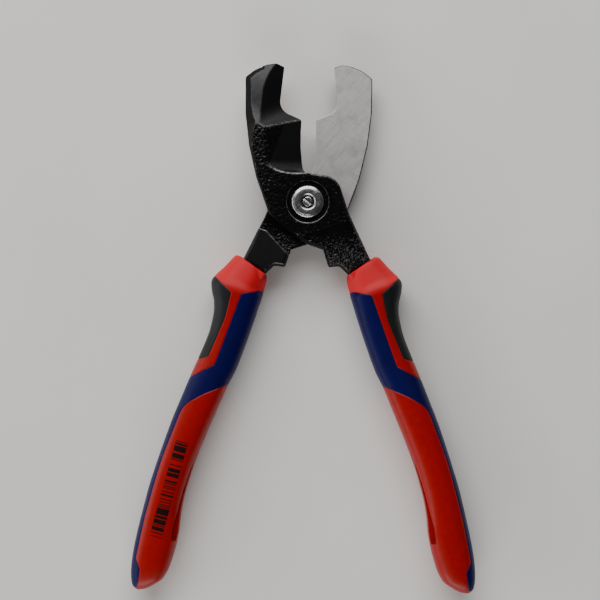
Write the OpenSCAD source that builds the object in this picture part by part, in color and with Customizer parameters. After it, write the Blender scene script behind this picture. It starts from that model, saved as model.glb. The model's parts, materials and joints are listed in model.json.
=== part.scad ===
// Hand cable shears with a twin cutting edge, modelled with the handles apart.
// Two identical steel forgings, one turned over onto the other, swing on a
// screwed pivot sleeve. Each tang carries a grip moulded in three plastics.
//
// Every outline is drawn for a closed tool, on the lever whose jaw lies to the
// left of the pivot: +Y runs to the tip, and z = 0 is the shear plane.

/* [Opening] */
// Angle between the two levers as the tool lies
open_angle = 37; // [20:1:50]

/* [Head] */
// Thickness of one lever at the pivot
head_t = 6.5; // [6:0.1:7]
// Thickness of the steel left standing along a cutting edge
edge_t = 0.4; // [0.2:0.1:0.8]
// Slope of the bevel behind the lower cutting edge, in degrees
lower_slope = 25; // [22:1:30]
// Slope of the bevel behind the upper cutting edge, in degrees
upper_slope = 33; // [28:1:40]
// Slope of the ramp below the upper cutting edge, in degrees
ramp_slope = 35; // [32:1:44]
// Radius of the run-out at the foot of the lower bevel
scoop_r = 5; // [3:0.5:6]

/* [Pivot] */
// Diameter of the pivot sleeve's barrel
barrel_d = 8; // [7:0.1:8.5]
// Diameter of the sleeve's round head
sleeve_head_d = 11.4; // [10:0.1:12.5]
// Diameter of the recess that each head sits in
recess_d = 14.8; // [14:0.1:15.5]
// Diameter of the screw's thread
thread_d = 4; // [3:0.5:5]
// Diameter of the screw's head
screw_head_d = 12.4; // [11:0.1:13]

/* [Tang] */
// Thickness of the tang between the hub and the grip, on each side of the shear plane
tang_half = 4.5; // [4:0.1:5]
// Thickness of the tang inside the grip, on each side of the shear plane
core_half = 3.5; // [3:0.1:3.8]

/* [Grip] */
// Depth of the soft plastics in the hard core
soft_depth = 1.5; // [1:0.1:1.6]
// Exponent of the grip's rounded section: 2 is an ellipse, and more is squarer
section_power = 2.5; // [2:0.1:3.5]
// Sides on the grip's section
section_sides = 28; // [20:4:36]

/* [Hidden] */
$fn = 48;

tool_black = "#1b1b1d";
tool_steel = "#b4b4b6";
grip_red = "#c4161a";
grip_blue = "#141f6e";
grip_grey = "#26292c";

lap_gap = 0.05;         // between the two ground faces
fit_gap = 0.05;         // radial clearance of the barrel in the rear lever
cavity_gap = 0.1;       // between the tang and the plastic round it
stop_gap = 0.15;        // from each stop face to the tool's middle, closed
big = 60;               // reaches past everything it cuts
bevel_lead = 6;         // lower bevel: starts this far before its foot
bevel_run = 26;         // lower bevel: length of the cut
bevel_reach = 50;       // lower bevel: width of the cut, past the edge
bevel_high = 12;        // lower bevel: depth of the cut, past the lever's back
scoop_steps = 6;        // flats in the rounded foot of the lower bevel
arc_step = 8;           // degrees between the points of a rounded corner
slice_least = 0.5;      // half size of the smallest ring of a grip

front_seat = head_t - 1.0;      // depth of the sleeve head's seat
rear_seat = head_t - 1.6;       // depth of the washer's seat
sleeve_head_t = 2.2;
washer_t = 0.57;
screw_head_t = 2.0;
washer_foot = rear_seat + washer_t + 0.03;
shear_z = washer_foot + screw_head_t;   // puts the screw's head on z = 0

// --- Outlines, as [x, y, corner radius] ---------------------------------

// Jaw, hub, stop and the tang down to the mouth of the grip
lever_outline = [
    [6.9, 48.7, 0.4], [4.6, 50.6, 2.5], [1.0, 51.2, 8],             // tip
    [-3.4, 50.9, 8], [-7.3, 49.5, 1.4],
    [-16.3, 26.1, 105], [-14.3, 0.4, 4], [-11.2, -5.2, 14],         // back of the jaw
    [-5.6, -13.4, 14], [stop_gap, -17.7, 0],                        // underside of the hub
    [stop_gap, -24.3, 0.6], [3.9, -25.0, 2], [5.9, -28.8, 0],       // stop
    [7.9, -35, 6], [8.4, -60, 40], [10.6, -92, 60],                 // tang in the grip, inner side
    [10.2, -110, 40], [7.6, -131, 2.5], [14.2, -132, 3],
    [17.6, -110, 40], [17.6, -90, 60], [15.0, -62, 40],             // tang in the grip, outer side
    [15.1, -44, 20], [16.4, -34, 6], [14.9, -25.3, 0],
    [12.7, -8.5, 20], [12.6, 5.3, 7], [1.7, 10.3, 2.6],             // hub and throat
    [3.4, 19.6, 60], [7.0, 28.9, 1.2], [0.4, 34.7, 5]               // lower and upper edges
];

// What is left of the lever's full thickness: all that lies above this line is one lap
shoulder_outline = [
    [-big, big, 0], [big, big, 0], [big, -14.9, 0], [10.5, -14.2, 1.2],
    [3.0, -18.3, 0], [-big, -50, 0]
];

// Side profile of the whole lever, as [y, z]
side_profile = [
    [54, 0], [54, head_t], [-11, head_t], [-26.5, tang_half + 0.2], [-29.5, core_half],
    [-133, core_half - 0.4], [-133, 0.4 - core_half], [-29.5, -core_half],
    [-26.5, -tang_half], [-8, -tang_half], [-8, 0]
];

lower_foot = [1.7, 10.3];       // where the lower edge meets the hub
lower_lean = -15.6;             // the lower edge's angle from +Y
upper_foot = [2.4, 38.4];       // a point on the upper edge
upper_lean = -23.8;             // the upper edge's angle from +Y
facet_point = [-3.7, 40.4, 4.5];// a point on the thinned face of the upper jaw
facet_lean = -39.7;             // the way that the thinned face falls, from +Y
facet_slope = 10;
shelf_foot = [2.5, 33.3];       // a point on the shelf between the two edges
shelf_lean = 135.7;             // the way that the ramp climbs, from +Y

// Grip stations from mouth to tail: inner x, y, outer x, y, and half the thickness
stations = [
    [5.4, -29.2, 17.0, -25.7, 5.9], [4.9, -30.1, 18.3, -26.2, 6.2], [4.5, -31.4, 19.2, -27.9, 6.5],
    [4.3, -33.6, 20.7, -31.2, 6.9], [4.2, -36.2, 22.6, -34.8, 7.4], [4.2, -38.4, 23.3, -37.4, 7.5],
    [4.2, -41.6, 22.0, -41.0, 7.1], [4.1, -45.0, 20.0, -44.4, 6.8], [4.1, -49.5, 18.7, -49.0, 6.5],
    [4.2, -56.0, 18.1, -55.5, 6.4], [4.5, -64.5, 18.6, -64.0, 6.5], [5.5, -71.5, 19.2, -71.0, 6.7],
    [6.2, -80.5, 19.8, -80.0, 7.0], [7.0, -91.0, 20.4, -90.5, 7.3], [7.5, -102.0, 20.5, -101.5, 7.5],
    [7.2, -111.5, 20.4, -111.5, 7.4], [6.3, -119.0, 19.9, -119.5, 7.2], [4.6, -127.0, 19.2, -128.0, 7.0],
    [3.9, -134.0, 18.3, -136.0, 6.6], [3.8, -139.0, 17.2, -142.0, 6.1], [4.6, -143.6, 16.2, -145.6, 5.4],
    [6.8, -146.7, 15.1, -148.2, 4.4], [9.3, -149.2, 14.0, -149.8, 2.9], [10.9, -150.1, 12.9, -150.3, 1.4]
];

// The blue zone crosses from the finger side to the palm side, and runs on to the tail
soft_outline = [
    [-6, -32, 0], [5.6, -35.9, 0], [11.4, -38.2, 1.5], [11.8, -52, 20], [12.2, -65.2, 1.2],
    [19.0, -72.2, 0], [big, -112, 0], [big, -170, 0], [12.6, -170, 0], [12.5, -147, 0],
    [13.4, -142.4, 1.2], [16.2, -139.4, 1.5], [18.0, -124, 30], [19.1, -104, 60],
    [18.1, -82.4, 9], [12.4, -76.3, 14], [6.2, -71.2, 0], [-6, -63, 0]
];

// The grey zone lies under the guard, on the palm side
pad_outline = [
    [40, -28.6, 0], [22.9, -35.6, 0], [15.0, -39.1, 1.2], [14.1, -48, 20],
    [15.3, -63.2, 1.5], [19, -65.8, 0], [40, -80, 0]
];

// Each half of the skin is cut back here on the finger side, and leaves a web between the halves
relief_outline = [
    [-6, -93, 0], [7.4, -94, 4], [8.1, -103, 8], [8.1, -111.5, 8], [7.6, -119.5, 4],
    [7.3, -124, 4], [6.3, -129.2, 0.5], [-6, -130.4, 0]
];
web_half = 2.6;         // half the web's thickness

// --- Geometry helpers ----------------------------------------------------

function unit(v) = v / norm(v);
function turn_between(a, b) = (b - a + 540) % 360 - 180;

// The points of one corner b, rounded, between its neighbours a and c
function corner(a, b, c) =
    let (
        p = [b[0], b[1]],
        r = b[2],
        u = unit([a[0], a[1]] - p),
        v = unit([c[0], c[1]] - p),
        half = acos(u * v) / 2,
        mid = p + unit(u + v) * r / sin(half),
        first = p + u * r / tan(half) - mid,
        last = p + v * r / tan(half) - mid,
        from = atan2(first[1], first[0]),
        sweep = turn_between(from, atan2(last[1], last[0])),
        steps = ceil(abs(sweep) / arc_step)
    )
    [for (i = [0:steps]) mid + r * [cos(from + sweep * i / steps), sin(from + sweep * i / steps)]];

function rounded(outline) =
    let (n = len(outline))
    [for (i = [0:n - 1])
        each outline[i][2] == 0
            ? [[outline[i][0], outline[i][1]]]
            : corner(outline[(i + n - 1) % n], outline[i], outline[(i + 1) % n])];

// One point of a rounded section, at an angle, with half width a and half thickness b
function section_point(angle, a, b) =
    let (c = cos(angle), s = sin(angle), e = 2 / section_power)
    [sign(c) * a * pow(abs(c), e), sign(s) * b * pow(abs(s), e)];

module prism(outline, low, high) {
    translate([0, 0, low])
        linear_extrude(height = high - low)
            polygon(rounded(outline));
}

// Everything above a plane that climbs toward a lean from +Y, through a point
module above_slope(point, lean, slope) {
    translate(point)
        rotate([0, 0, lean])
            rotate([slope, 0, 0])
                translate([-big, -big, 0])
                    cube(2 * big);
}

// Puts a lever, drawn closed and over the shear plane, where it lies at rest
module front_side() {
    translate([0, 0, shear_z])
        rotate([0, 0, open_angle / 2])
            children();
}

module rear_side() {
    translate([0, 0, shear_z])
        rotate([0, 0, -open_angle / 2])
            rotate([0, 180, 0])
                children();
}

// --- Levers ---------------------------------------------------------------

module lever_body() {
    difference() {
        intersection() {
            prism(lever_outline, -head_t, head_t);
            rotate([90, 0, 90])
                translate([0, 0, -big / 2])
                    linear_extrude(height = big)
                        polygon(side_profile);
        }
        prism(shoulder_outline, -2 * head_t, lap_gap / 2);
    }
}

// The lower edge's bevel, with a round run-out against the hub
module lower_bevel() {
    translate([lower_foot[0], lower_foot[1], edge_t])
        rotate([0, 0, lower_lean])
            rotate([0, lower_slope, 0])
                rotate([90, 0, -90])
                    translate([0, 0, -bevel_lead])
                        linear_extrude(height = bevel_run)
                            polygon([
                                for (i = [0:scoop_steps])
                                    scoop_r * [cos(90 * i / scoop_steps) - 1, 1 - sin(90 * i / scoop_steps)],
                                [-bevel_reach, 0], [-bevel_reach, bevel_high], [0, bevel_high]
                            ]);
}

// The upper edge's bevel and thinned face, down to the ramp above the shelf
module upper_bevel() {
    intersection() {
        union() {
            above_slope([upper_foot[0], upper_foot[1], edge_t], upper_lean + 90, upper_slope);
            above_slope(facet_point, facet_lean, -facet_slope);
        }
        above_slope([shelf_foot[0], shelf_foot[1], edge_t], shelf_lean, ramp_slope);
    }
}

module lever(bore_r, seat) {
    difference() {
        lever_body();
        lower_bevel();
        upper_bevel();
        translate([0, 0, -head_t])
            cylinder(r = bore_r, h = 3 * head_t);
        translate([0, 0, seat])
            cylinder(d = recess_d, h = head_t);
    }
}

module front_lever() {
    color(tool_black)
        front_side()
            lever(barrel_d / 2, front_seat);
}

module rear_lever() {
    color(tool_black)
        rear_side()
            lever(barrel_d / 2 + fit_gap, rear_seat);
}

// --- Pivot ----------------------------------------------------------------

module pivot_sleeve() {
    head_r = sleeve_head_d / 2;
    top = front_seat + sleeve_head_t;
    color(tool_steel)
        translate([0, 0, shear_z])
            rotate_extrude()
                polygon([
                    [thread_d / 2, -washer_foot], [barrel_d / 2, -washer_foot],
                    [barrel_d / 2, front_seat], [head_r, front_seat], [head_r, top - 0.8],
                    [head_r - 0.8, top], [thread_d / 2 + 0.5, top], [thread_d / 2, top - 0.5]
                ]);
}

module pivot_screw() {
    head_r = screw_head_d / 2;
    end_z = shear_z + front_seat + sleeve_head_t - 0.35;
    color(tool_steel)
        difference() {
            rotate_extrude()
                polygon([
                    [0, 0], [head_r - 0.5, 0], [head_r, 0.5], [head_r, screw_head_t],
                    [thread_d / 2, screw_head_t], [thread_d / 2, end_z - 0.3],
                    [thread_d / 2 - 0.3, end_z], [0, end_z]
                ]);
            translate([0, 0, end_z])
                rotate([0, 0, -33])
                    cube([thread_d + 1, 0.8, 1.8], center = true);
        }
}

// A shallow cone, squeezed between the screw's head and the rear lever
module spring_washer() {
    inner = barrel_d / 2 + 0.2;
    color(tool_steel)
        translate([0, 0, screw_head_t])
            rotate_extrude()
                polygon([
                    [inner, 0.17], [screw_head_d / 2 - 0.2, 0],
                    [screw_head_d / 2 - 0.2, 0.4], [inner, washer_t]
                ]);
}

// --- Grips ------------------------------------------------------------------

// The points round the grip at one station, set in by a margin
function grip_ring(s, margin) =
    let (
        across = [s[2] - s[0], s[3] - s[1]],
        middle = [s[0] + s[2], s[1] + s[3]] / 2,
        width_half = max(norm(across) / 2 - margin, slice_least),
        depth_half = max(s[4] - margin, slice_least)
    )
    [for (i = [0:section_sides - 1])
        let (p = section_point(360 * i / section_sides, width_half, depth_half))
        [middle[0] + p[0] * unit(across)[0], middle[1] + p[0] * unit(across)[1], p[1]]];

module grip_form(margin) {
    n = section_sides;
    rings = len(stations);
    polyhedron(
        points = [for (s = stations) each grip_ring(s, margin)],
        faces = [
            [for (i = [0:n - 1]) i],
            [for (i = [n - 1:-1:0]) (rings - 1) * n + i],
            for (k = [0:rings - 2], i = [0:n - 1])
                let (j = (i + 1) % n)
                each [[k * n + i, (k + 1) * n + i, (k + 1) * n + j], [k * n + i, (k + 1) * n + j, k * n + j]]
        ]
    );
}

// Room for the tang, which the plastic clears by a hair all round
module tang_cavity() {
    in_grip = [for (p = lever_outline) if (p[1] < -25) p];
    at_mouth = [[2.4, -22.2, 0], [5.9, -28.8, 0], [6.2, -29.8, 0], [15.7, -29.8, 0], [14.3, -22.2, 0]];
    intersection() {
        linear_extrude(height = big, center = true)
            offset(delta = cavity_gap) {
                polygon(rounded(in_grip));
                polygon(rounded(at_mouth));
            }
        rotate([90, 0, 90])
            linear_extrude(height = big, center = true)
                offset(delta = cavity_gap)
                    polygon(side_profile);
    }
}

module grip_core() {
    difference() {
        grip_form(0);
        difference() {
            union() {
                prism(soft_outline, -big, big);
                prism(pad_outline, -big, big);
            }
            grip_form(soft_depth);
        }
        for (side = [0, 1])
            mirror([0, 0, side])
                prism(relief_outline, web_half, big);
        tang_cavity();
    }
}

module grip_zone(outline) {
    intersection() {
        difference() {
            grip_form(0);
            grip_form(soft_depth);
        }
        prism(outline, -big, big);
    }
}

module right_grip_core() { color(grip_red) front_side() grip_core(); }
module right_grip_soft() { color(grip_blue) front_side() grip_zone(soft_outline); }
module right_thumb_pad() { color(grip_grey) front_side() grip_zone(pad_outline); }
module left_grip_core() { color(grip_red) rear_side() grip_core(); }
module left_grip_soft() { color(grip_blue) rear_side() grip_zone(soft_outline); }
module left_thumb_pad() { color(grip_grey) rear_side() grip_zone(pad_outline); }

front_lever();
rear_lever();
pivot_sleeve();
pivot_screw();
spring_washer();
right_grip_core();
right_grip_soft();
right_thumb_pad();
left_grip_core();
left_grip_soft();
left_thumb_pad();
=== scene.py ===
import json
import math

import bmesh
import bpy
import numpy as np
from mathutils import Matrix, Vector, noise
from mathutils.geometry import delaunay_2d_cdt


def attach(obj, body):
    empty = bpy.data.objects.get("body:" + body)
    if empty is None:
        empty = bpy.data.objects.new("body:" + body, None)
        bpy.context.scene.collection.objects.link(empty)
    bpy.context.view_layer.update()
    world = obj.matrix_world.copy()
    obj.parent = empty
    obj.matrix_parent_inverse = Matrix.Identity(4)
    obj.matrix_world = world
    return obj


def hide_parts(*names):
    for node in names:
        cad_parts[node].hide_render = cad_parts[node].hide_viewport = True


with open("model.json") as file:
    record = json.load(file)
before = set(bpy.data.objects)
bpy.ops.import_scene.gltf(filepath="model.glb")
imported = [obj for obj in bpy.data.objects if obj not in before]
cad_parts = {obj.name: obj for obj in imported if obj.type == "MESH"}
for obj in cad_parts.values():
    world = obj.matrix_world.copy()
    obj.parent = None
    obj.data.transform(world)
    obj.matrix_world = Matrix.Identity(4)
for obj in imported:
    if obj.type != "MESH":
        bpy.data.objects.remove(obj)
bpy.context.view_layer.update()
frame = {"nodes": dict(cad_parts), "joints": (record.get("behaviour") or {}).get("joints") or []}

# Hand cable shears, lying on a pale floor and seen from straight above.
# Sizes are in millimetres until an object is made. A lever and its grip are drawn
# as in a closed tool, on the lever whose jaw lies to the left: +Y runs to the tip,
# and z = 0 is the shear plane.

MM = 0.001
PIVOT = frame["joints"][0]
SHEAR_Z = PIVOT["pos_m"][2] / MM
HALF_OPEN = math.radians(-PIVOT["range_deg"][0]) / 2

HEAD_T = 6.5            # one lever at the hub
EDGE_T = 0.4            # steel left standing along a cutting edge
TANG_HALF = 4.5         # half the tang above the grip, and in it
CORE_HALF = 3.5
LAP = 0.025             # half the gap between the ground faces
BARREL_R = 4.0          # the sleeve's barrel, and the bore in the hub
RECESS_R = 7.4          # the recess round the pivot, on each lever's outer side
FRONT_SEAT = HEAD_T - 1.0
REAR_SEAT = HEAD_T - 1.6
SOFT_DEPTH = 1.5
SECTION_POWER = 2.5     # of the grip's section, between an ellipse and a box
WEB_HALF = 2.6
ROUND = 120             # points round a turned piece and round the hub's bore
ARC_STEP = 8.0          # degrees between the points of a rounded corner
HAIR = 1e-6             # a length too short to matter

# Jaw, hub, stop and tang, as [x, y, corner radius]
LEVER_OUTLINE = [
    [6.9, 48.7, 0.4], [4.6, 50.6, 2.5], [1.0, 51.2, 8], [-3.4, 50.9, 8], [-7.3, 49.5, 1.4],
    [-16.3, 26.1, 105], [-14.3, 0.4, 4], [-11.2, -5.2, 14],
    [-5.6, -13.4, 14], [0.15, -17.7, 0],
    [0.15, -24.3, 0.6], [3.9, -25.0, 2], [5.9, -28.8, 0],
    [7.9, -35, 6], [8.4, -60, 40], [10.6, -92, 60],
    [10.2, -110, 40], [7.6, -131, 2.5], [14.2, -132, 3],
    [17.6, -110, 40], [17.6, -90, 60], [15.0, -62, 40],
    [15.1, -44, 20], [16.4, -34, 6], [14.9, -25.3, 0],
    [12.7, -8.5, 20], [12.6, 5.3, 7], [1.7, 10.3, 2.6],
    [3.4, 19.6, 60], [7.0, 28.9, 1.2], [0.4, 34.7, 5],
]
SHOULDER = [[40, -14.9, 0], [10.5, -14.2, 1.2], [3.0, -18.3, 0], [-40, -40.0, 0]]

# Grip stations from mouth to tail: inner x, y, outer x, y, and half the thickness
STATIONS = [
    [5.4, -29.2, 17.0, -25.7, 5.9], [4.9, -30.1, 18.3, -26.2, 6.2], [4.5, -31.4, 19.2, -27.9, 6.5],
    [4.3, -33.6, 20.7, -31.2, 6.9], [4.2, -36.2, 22.6, -34.8, 7.4], [4.2, -38.4, 23.3, -37.4, 7.5],
    [4.2, -41.6, 22.0, -41.0, 7.1], [4.1, -45.0, 20.0, -44.4, 6.8], [4.1, -49.5, 18.7, -49.0, 6.5],
    [4.2, -56.0, 18.1, -55.5, 6.4], [4.5, -64.5, 18.6, -64.0, 6.5], [5.5, -71.5, 19.2, -71.0, 6.7],
    [6.2, -80.5, 19.8, -80.0, 7.0], [7.0, -91.0, 20.4, -90.5, 7.3], [7.5, -102.0, 20.5, -101.5, 7.5],
    [7.2, -111.5, 20.4, -111.5, 7.4], [6.3, -119.0, 19.9, -119.5, 7.2], [4.6, -127.0, 19.2, -128.0, 7.0],
    [3.9, -134.0, 18.3, -136.0, 6.6], [3.8, -139.0, 17.2, -142.0, 6.1],
    [4.6, -143.6, 16.2, -145.6, 5.4], [6.8, -146.7, 15.1, -148.2, 4.4],
    [9.3, -149.2, 14.0, -149.8, 2.9], [10.9, -150.1, 12.9, -150.3, 1.4],
]
SOFT_OUTLINE = [
    [-6, -32, 0], [5.6, -35.9, 0], [11.4, -38.2, 1.5], [11.8, -52, 20], [12.2, -65.2, 1.2],
    [19.0, -72.2, 0], [60, -112, 0], [60, -170, 0], [12.6, -170, 0], [12.5, -147, 0],
    [13.4, -142.4, 1.2], [16.2, -139.4, 1.5], [18.0, -124, 30], [19.1, -104, 60],
    [18.1, -82.4, 9], [12.4, -76.3, 14], [6.2, -71.2, 0], [-6, -63, 0],
]
PAD_OUTLINE = [
    [40, -28.6, 0], [22.9, -35.6, 0], [15.0, -39.1, 1.2], [14.1, -48, 20],
    [15.3, -63.2, 1.5], [19, -65.8, 0], [40, -80, 0],
]
RELIEF_OUTLINE = [
    [-6, -93, 0], [7.4, -94, 4], [8.1, -103, 8], [8.1, -111.5, 8], [7.6, -119.5, 4],
    [7.3, -124, 4], [6.3, -129.2, 0.5], [-6, -130.4, 0],
]


# --- Plane geometry ---

def unit(v):
    return v / np.linalg.norm(v)


def rounded(outline):
    """An outline's points, with each corner [x, y, radius] turned into an arc."""
    points = []
    count = len(outline)
    for i, (x, y, radius) in enumerate(outline):
        p = np.array([x, y], float)
        if radius == 0:
            points.append(p)
            continue
        u = unit(np.array(outline[i - 1][:2], float) - p)
        v = unit(np.array(outline[(i + 1) % count][:2], float) - p)
        half = math.acos(float(np.clip(u @ v, -1, 1))) / 2
        mid = p + unit(u + v) * radius / math.sin(half)
        first = p + u * radius / math.tan(half) - mid
        last = p + v * radius / math.tan(half) - mid
        start = math.atan2(first[1], first[0])
        sweep = (math.atan2(last[1], last[0]) - start + 3 * math.pi) % (2 * math.pi) - math.pi
        steps = max(1, math.ceil(abs(math.degrees(sweep)) / ARC_STEP))
        for k in range(steps + 1):
            a = start + sweep * k / steps
            points.append(mid + radius * np.array([math.cos(a), math.sin(a)]))
    return np.array(points)


def resampled(points, spacing, closed=True):
    """The same polyline with no step longer than spacing, which may be a function of a point."""
    points = np.asarray(points, float)
    ends = np.roll(points, -1, axis=0) if closed else points[1:]
    out = []
    for a, b in zip(points, ends):
        length = np.linalg.norm(b - a)
        if length < HAIR:
            continue
        step = spacing(a) if callable(spacing) else spacing
        count = max(1, math.ceil(length / step))
        out.extend(a + (b - a) * k / count for k in range(count))
    if not closed:
        out.append(points[-1])
    return np.array(out)


def sides(rim):
    """The starts and ends of a closed polyline's segments."""
    return rim, np.roll(rim, -1, axis=0)


def segments(lines):
    """The starts and ends of all the segments of several open polylines."""
    return np.vstack([c[:-1] for c in lines]), np.vstack([c[1:] for c in lines])


def left_of(tangent):
    """Unit vectors a quarter turn to the left of each tangent."""
    return np.stack([-tangent[:, 1], tangent[:, 0]], 1) / np.linalg.norm(tangent, axis=1)[:, None]


def distance(points, starts, ends):
    """The distance from each point to the nearest of many segments, in 2D or 3D."""
    along = ends - starts
    size = np.maximum((along ** 2).sum(1), 1e-12)
    best = np.full(len(points), np.inf)
    for low in range(0, len(points), 2000):
        p = points[low:low + 2000, None, :]
        t = np.clip(((p - starts) * along).sum(2) / size, 0, 1)
        gap = p - starts - t[..., None] * along
        best[low:low + 2000] = np.sqrt((gap ** 2).sum(2).min(1))
    return best


def inside(points, polygon):
    """Whether each point lies in a polygon."""
    x, y = points[:, 0:1], points[:, 1:2]
    x0, y0 = polygon.T
    x1, y1 = np.roll(polygon, -1, axis=0).T
    dy = np.where(y1 == y0, 1e-12, y1 - y0)
    crosses = ((y0 > y) != (y1 > y)) & (x < (x1 - x0) * (y - y0) / dy + x0)
    return crosses.sum(1) % 2 == 1


def well_inside(points, rim, margin):
    """Whether each point lies in a rim and more than a margin from it."""
    return inside(points, rim) & (distance(points, *sides(rim)) > margin)


def circle(radius, count=ROUND):
    a = np.arange(count) * 2 * math.pi / count
    return radius * np.stack([np.cos(a), np.sin(a)], 1)


def hex_grid(low, high, spacing):
    rows = np.arange(low[1], high[1], spacing * 0.866)
    columns = np.arange(low[0], high[0], spacing)
    points = [(x + (spacing / 2 if i % 2 else 0), y) for i, y in enumerate(rows) for x in columns]
    return np.array(points)


def sheet(rim, chains, spots):
    """Triangles inside a rim that keep to chains of points.

    Gives the points, the triangles, and the point ids of the rim and of each chain.
    """
    points = [tuple(p) for p in rim]
    edges = [(i, (i + 1) % len(rim)) for i in range(len(rim))]
    spans = [(0, len(rim))]
    for chain, closed in chains:
        base = len(points)
        points.extend(tuple(p) for p in chain)
        last = len(chain) if closed else len(chain) - 1
        edges.extend((base + i, base + (i + 1) % len(chain)) for i in range(last))
        spans.append((base, base + len(chain)))
    points.extend(tuple(p) for p in spots)
    flat = [Vector(p) for p in points]
    verts, _, faces, origin, _, _ = delaunay_2d_cdt(flat, edges, [], 0, 1e-5)
    new_id = {}
    for i, group in enumerate(origin):
        for old in group:
            new_id[old] = i
    xy = np.array([v[:] for v in verts])
    tris = np.array([f[:] for f in faces])
    tris = tris[inside(xy[tris].mean(1), np.asarray(rim))]
    ids = [np.array([new_id[k] for k in range(a, b)]) for a, b in spans]
    return xy, tris, ids


def band(one, other):
    """The four-sided faces between two rings with equally many points."""
    n = len(one)
    return [[one[i], one[(i + 1) % n], other[(i + 1) % n], other[i]] for i in range(n)]


def smooth_min(a, b, k):
    h = np.clip(0.5 + 0.5 * (b - a) / k, 0, 1)
    return b * (1 - h) + a * h - k * h * (1 - h)


def smooth_max(a, b, k):
    return -smooth_min(-a, -b, k)


def smooth_step(low, high, x):
    t = np.clip((x - low) / (high - low), 0, 1)
    return t * t * (3 - 2 * t)


# --- Objects ---

# From millimetres to the frame, for the turned pieces and for each half of the tool
ON_AXIS = Matrix.Scale(MM, 4)
LIFT = Matrix.Translation((0, 0, SHEAR_Z * MM))
FLIP = Matrix.Rotation(math.pi, 4, "Y")
FRONT_PLACE = LIFT @ Matrix.Rotation(HALF_OPEN, 4, "Z") @ ON_AXIS
REAR_PLACE = LIFT @ Matrix.Rotation(-HALF_OPEN, 4, "Z") @ FLIP @ ON_AXIS


def add_object(name, data):
    made = bpy.data.objects.new(name, data)
    bpy.context.scene.collection.objects.link(made)
    return made


def make_piece(name, verts, faces, place, materials, kinds=None, sharp=35):
    """A smooth-shaded object in the frame, from points in millimetres."""
    mesh = bpy.data.meshes.new(name)
    mesh.from_pydata([tuple(v) for v in verts], [], [tuple(int(i) for i in f) for f in faces])
    mesh.transform(place)
    for material in materials:
        mesh.materials.append(material)
    if kinds is not None:
        mesh.polygons.foreach_set("material_index", np.array(kinds, np.int32))
    work = bmesh.new()
    work.from_mesh(mesh)
    bmesh.ops.remove_doubles(work, verts=work.verts, dist=2e-7)
    bmesh.ops.dissolve_degenerate(work, edges=work.edges, dist=1e-7)
    bmesh.ops.recalc_face_normals(work, faces=work.faces)
    work.to_mesh(mesh)
    work.free()
    mesh.shade_smooth()
    mesh.set_sharp_from_angle(angle=math.radians(sharp))
    return add_object(name, mesh)


# --- Levers ---

LOWER_FOOT = np.array([1.7, 10.3])
LOWER_LEAN = math.radians(15.6)
LOWER_UP = np.array([math.sin(LOWER_LEAN), math.cos(LOWER_LEAN)])
LOWER_SIDE = np.array([-math.cos(LOWER_LEAN), math.sin(LOWER_LEAN)])
LOWER_SLOPE = math.radians(25)
SCOOP_R = 5.0
SHOULDER_LINE = rounded(SHOULDER)
SHOULDER_STEP = 0.03
GRIP_MOUTH_Y = -32
GROUND_R = 12.0
# The fifth kind, for edges painted pale grey, stands both for black worn off and for a painted highlight
# of the window along their rounding.
CAST, BEVEL, BARE, SATIN, WEAR_AND_HIGHLIGHT, WALL = 0, 1, 2, 3, 4, 5
EDGE_FROM_Y, EDGE_TO_Y = 10.2, 48.9     # where the cutting edge starts and stops
RECESS_EDGE_R = RECESS_R + 0.21
UPPER_BEVEL = ((2.4, 38.4, EDGE_T), 66.2, 33)   # foot, lean and slope, for climb


def climb(p, foot, lean, slope):
    """Height of a plane through foot (x, y, z) that climbs towards lean, from +Y."""
    lean, slope = math.radians(lean), math.radians(slope)
    run = -math.sin(lean) * (p[:, 0] - foot[0]) + math.cos(lean) * (p[:, 1] - foot[1])
    return foot[2] + math.tan(slope) * run


def plain_thickness(p):
    """Height of the outer face over the shear plane, before any bevel."""
    y_down = [11, 26.5, 29.5, 133]
    return np.interp(-p[:, 1], y_down, [HEAD_T, TANG_HALF + 0.2, CORE_HALF, CORE_HALF - 0.4])


def from_lower_foot(p):
    """How far points lie across and up the lower cutting edge, from its foot."""
    return (p - LOWER_FOOT) @ LOWER_SIDE, (p - LOWER_FOOT) @ LOWER_UP


def lower_bevel(p):
    """The plane behind the lower cutting edge, and its round run-out against the hub."""
    across, up = from_lower_foot(p)
    arc = SCOOP_R - np.sqrt(SCOOP_R ** 2 - np.clip(SCOOP_R - up, 0, SCOOP_R) ** 2)
    beyond = np.maximum(-up, 0) * 12
    return EDGE_T + np.tan(LOWER_SLOPE) * across + (arc + beyond) / math.cos(LOWER_SLOPE)


def upper_bevel(p):
    """The bevel behind the upper cutting edge, the thinned face, and the ramp up from the shelf."""
    bevel = climb(p, *UPPER_BEVEL)
    to_tip = np.maximum(0.45 * p[:, 0] + 0.89 * p[:, 1] - 35.0, 0)
    facet = 4.7 - 0.0158 * to_tip ** 2
    ramp = climb(p, (2.5, 33.3, EDGE_T), 135.7, 35)
    return smooth_max(smooth_min(bevel, facet, 0.3), ramp, 2.6)


def hub_ridge(p, to_rim):
    """Distance in from the hub's top edge: the scoop's brink on the left, and the rim on the right."""
    across, up = from_lower_foot(p)
    deep = (HEAD_T - EDGE_T - math.tan(LOWER_SLOPE) * across) * math.cos(LOWER_SLOPE)
    deep = np.clip(deep, 0, SCOOP_R)
    to_brink = SCOOP_R - np.sqrt(2 * SCOOP_R * deep - deep ** 2) - up
    by_brink = (across > -2.5) & (across < 10.5) & (to_brink > -0.05) & (to_brink < 2)
    by_rim = (p[:, 1] > 2.0) & (p[:, 1] < 11) & (p[:, 0] > 1.5)
    return np.where(by_brink, to_brink, np.where(by_rim, to_rim, 9.0))


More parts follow.
